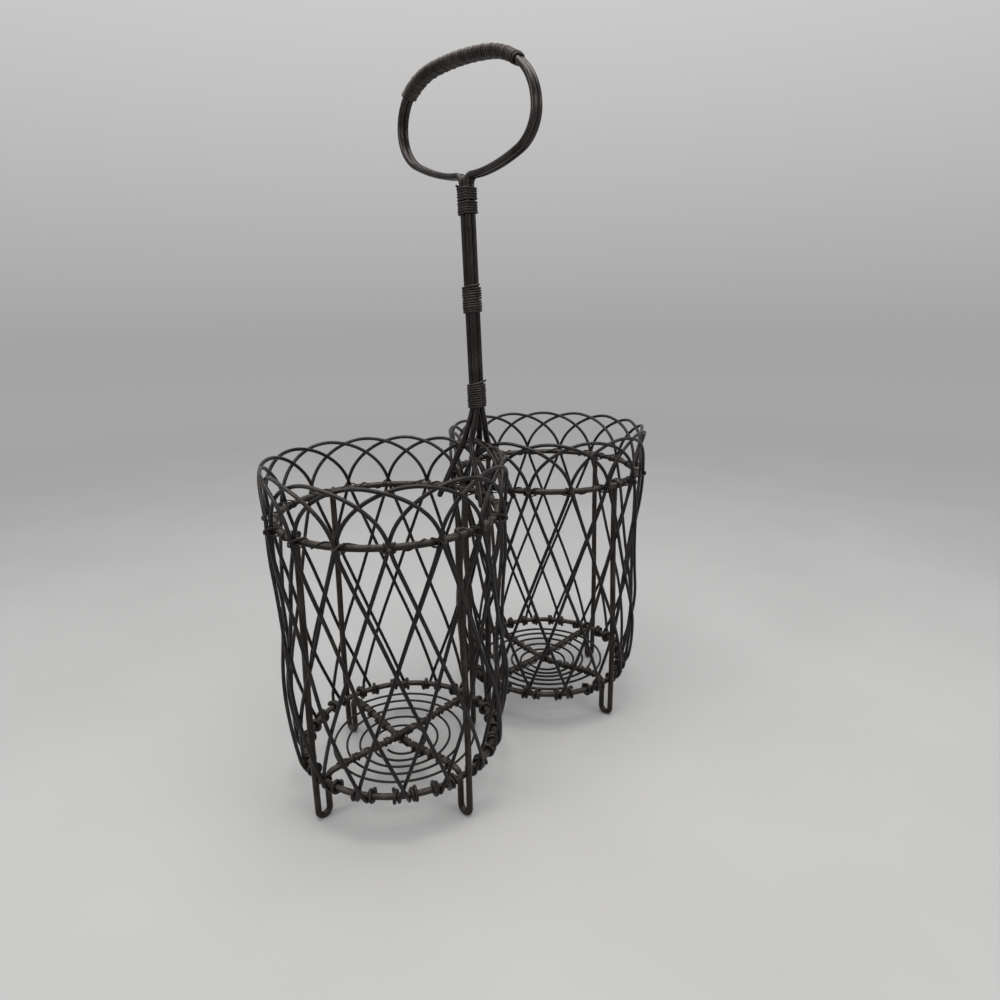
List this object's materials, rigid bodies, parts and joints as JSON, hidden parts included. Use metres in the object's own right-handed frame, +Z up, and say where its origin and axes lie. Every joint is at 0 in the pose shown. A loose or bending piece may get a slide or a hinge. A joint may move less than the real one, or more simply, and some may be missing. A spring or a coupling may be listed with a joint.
{
  "type": "bottle caddy",
  "caption": "Free-standing wire bottle caddy: round lattice baskets on looped feet, joined by a bound stem that rises to a wire-wrapped carrying loop.",
  "frame": {"origin": "on the floor below the stem, midway between the baskets", "axes": "+X from the left basket to the right one, +Z up, +Y to the back"},
  "size_m": [0.2478, 0.1234, 0.3757],
  "materials": {
    "heavy_wire": "aged dark brown iron, low sheen",
    "lattice_wire": "aged near-black iron, low sheen",
    "tie_wire": "aged near-black wire, satin"
  },
  "bodies": {
    "root": {"grip_wrap": "tie_wire", "handle_wire_left": "heavy_wire", "handle_wire_right": "heavy_wire", "left_base_ring": "heavy_wire", "left_cradle_wire_cross": "heavy_wire", "left_cradle_wire_long": "heavy_wire", "left_floor_spiral": "lattice_wire", "left_hoop": "heavy_wire", "left_lattice_wire_01": "lattice_wire", "left_lattice_wire_02": "lattice_wire", "left_lattice_wire_03": "lattice_wire", "left_lattice_wire_04": "lattice_wire", "left_lattice_wire_05": "lattice_wire", "left_lattice_wire_06": "lattice_wire", "left_lattice_wire_07": "lattice_wire", "left_lattice_wire_08": "lattice_wire", "left_lattice_wire_09": "lattice_wire", "left_lattice_wire_10": "lattice_wire", "left_lattice_wire_11": "lattice_wire", "left_lattice_wire_12": "lattice_wire", "left_lattice_wire_13": "lattice_wire", "left_lattice_wire_14": "lattice_wire", "left_lattice_wire_15": "lattice_wire", "left_lattice_wire_16": "lattice_wire", "right_base_ring": "heavy_wire", "right_cradle_wire_cross": "heavy_wire", "right_cradle_wire_long": "heavy_wire", "right_floor_spiral": "lattice_wire", "right_hoop": "heavy_wire", "right_lattice_wire_01": "lattice_wire", "right_lattice_wire_02": "lattice_wire", "right_lattice_wire_03": "lattice_wire", "right_lattice_wire_04": "lattice_wire", "right_lattice_wire_05": "lattice_wire", "right_lattice_wire_06": "lattice_wire", "right_lattice_wire_07": "lattice_wire", "right_lattice_wire_08": "lattice_wire", "right_lattice_wire_09": "lattice_wire", "right_lattice_wire_10": "lattice_wire", "right_lattice_wire_11": "lattice_wire", "right_lattice_wire_12": "lattice_wire", "right_lattice_wire_13": "lattice_wire", "right_lattice_wire_14": "lattice_wire", "right_lattice_wire_15": "lattice_wire", "right_lattice_wire_16": "lattice_wire", "stem_binding_bottom": "tie_wire", "stem_binding_middle": "tie_wire", "stem_binding_top": "tie_wire"}
  },
  "joints": []
}
